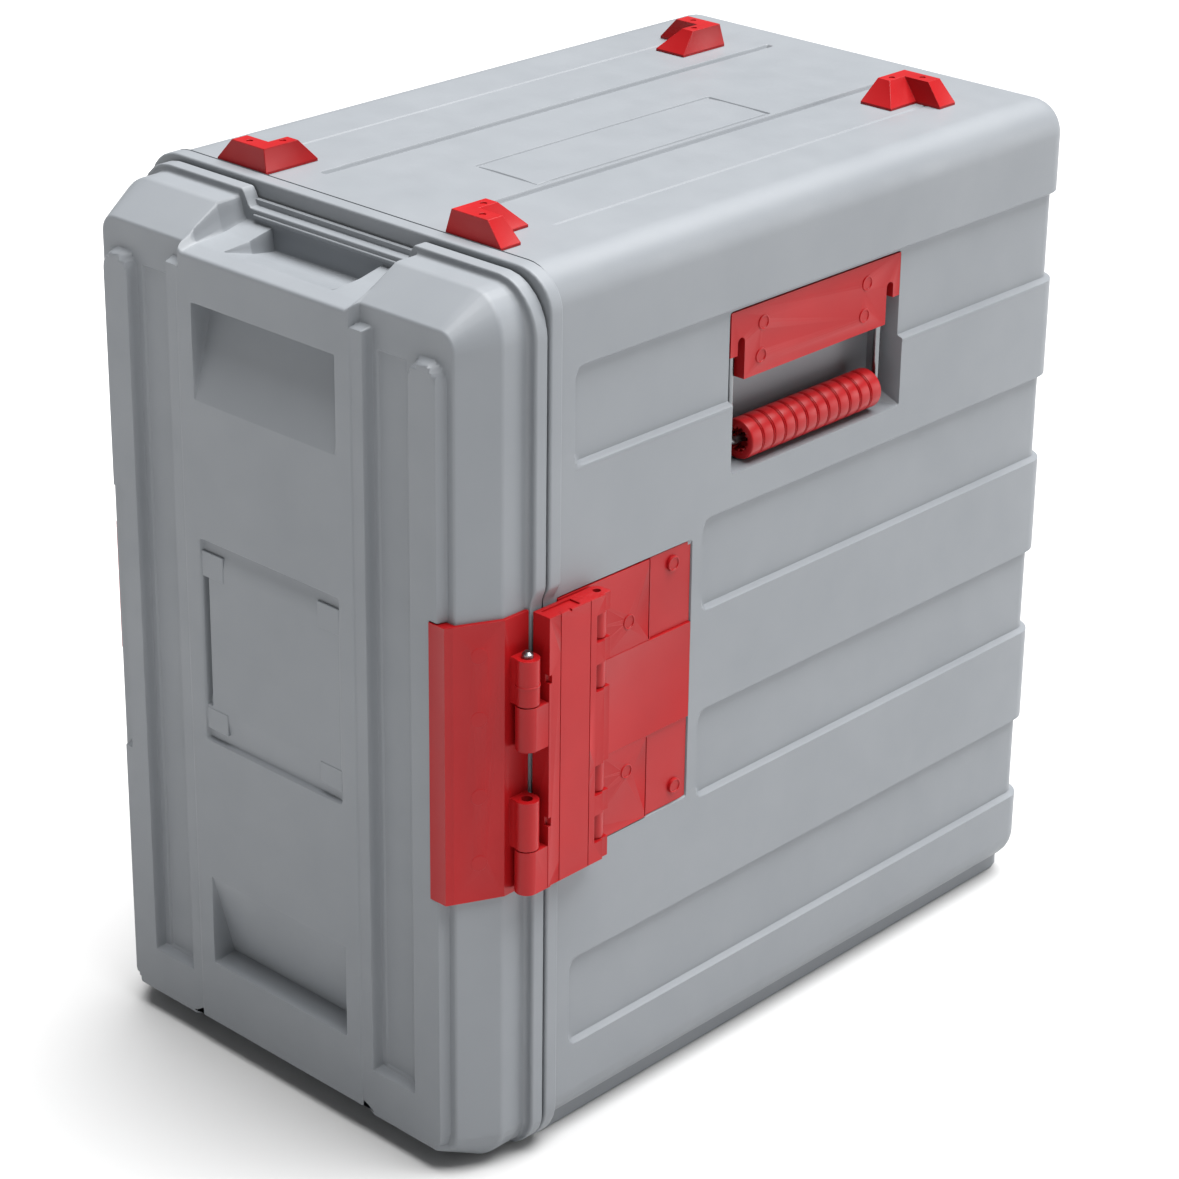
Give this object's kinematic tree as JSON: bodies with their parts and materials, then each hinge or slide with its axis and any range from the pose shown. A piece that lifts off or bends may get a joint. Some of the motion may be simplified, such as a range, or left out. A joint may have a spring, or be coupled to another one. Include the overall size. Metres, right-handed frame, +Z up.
{
  "type": "insulated food carrier",
  "caption": "Front-loading double-walled foamed carrier for gastronorm pans, with lift-off side-hinged door, draw latch, fold-out handles and stacking lugs.",
  "frame": {"origin": "centre of the flat underside, midway along the body's depth", "axes": "+Z up, -Y towards the door, +X towards the hinge side"},
  "size_m": [0.448, 0.6901, 0.725],
  "materials": {
    "grey_shell": "satin, finely grained, mid grey",
    "inner_shell": "smooth satin, pale grey",
    "red_fittings": "satin red, moulded and slightly scuffed",
    "steel": "drawn stainless wire and pins",
    "seal": "matt elastomer",
    "foam": "closed-cell insulating foam, hidden"
  },
  "bodies": {
    "body": {"body_outer_shell": "grey_shell", "body_inner_liner": "inner_shell", "body_insulation": "foam", "hinge_body_plate": "red_fittings", "hinge_plate_rivets": "red_fittings", "hinge_rear_pin": "steel", "latch_body_plate": "red_fittings", "latch_plate_rivets": "red_fittings", "latch_lever_pin": "steel", "handle_plate_right": "red_fittings", "handle_plate_left": "red_fittings", "handle_plate_rivets": "red_fittings", "stacking_lug_front_right": "red_fittings", "stacking_lug_front_left": "red_fittings", "stacking_lug_back_right": "red_fittings", "stacking_lug_back_left": "red_fittings", "stacking_lug_rivets": "red_fittings"},
    "hinge_link": {"hinge_link": "red_fittings", "hinge_lift_off_pins": "steel"},
    "door": {"door_outer_shell": "grey_shell", "door_inner_shell": "inner_shell", "door_insulation": "foam", "door_seal": "seal", "door_hinge_bracket": "red_fittings", "door_latch_bracket": "red_fittings", "door_bracket_rivets": "red_fittings", "card_holder": "grey_shell"},
    "latch_lever": {"latch_lever": "red_fittings", "latch_hook_pin": "steel"},
    "latch_hook": {"latch_hook": "red_fittings"},
    "bail_right": {"handle_bail_right": "steel"},
    "bail_left": {"handle_bail_left": "steel"},
    "grip_right": {"handle_grip_right": "red_fittings"},
    "grip_left": {"handle_grip_left": "red_fittings"}
  },
  "joints": [
    {"name": "link_swing", "type": "hinge", "parent": "body", "child": "hinge_link", "pos_m": [0.2155, -0.26, 0.35], "axis": [0, 0, 1], "range_deg": [0, 85]},
    {"name": "door_swing", "type": "hinge", "parent": "hinge_link", "child": "door", "pos_m": [0.2155, -0.3306, 0.35], "axis": [0, 0, 1], "range_deg": [0, 170]},
    {"name": "lever_swing", "type": "hinge", "parent": "body", "child": "latch_lever", "pos_m": [-0.2155, -0.266, 0.35], "axis": [0, 0, 1], "range_deg": [0, 110]},
    {"name": "hook_swing", "type": "hinge", "parent": "latch_lever", "child": "latch_hook", "pos_m": [-0.217, -0.252, 0.35], "axis": [0, 0, 1], "range_deg": [-132, 0]},
    {"name": "bail_right_swing", "type": "hinge", "parent": "body", "child": "bail_right", "pos_m": [0.192, -0.005, 0.597], "axis": [0, -1, 0], "range_deg": [0, 90]},
    {"name": "bail_left_swing", "type": "hinge", "parent": "body", "child": "bail_left", "pos_m": [-0.192, -0.005, 0.597], "axis": [0, 1, 0], "range_deg": [0, 90]},
    {"name": "grip_right_spin", "type": "hinge", "parent": "bail_right", "child": "grip_right", "pos_m": [0.192, -0.005, 0.517], "axis": [0, 1, 0], "continuous": true},
    {"name": "grip_left_spin", "type": "hinge", "parent": "bail_left", "child": "grip_left", "pos_m": [-0.192, -0.005, 0.517], "axis": [0, 1, 0], "continuous": true}
  ],
  "couplings": [
    {"joint": "link_swing", "follows": "door_swing", "ratio": 0.5},
    {"joint": "hook_swing", "follows": "lever_swing", "ratio": -1.2}
  ]
}
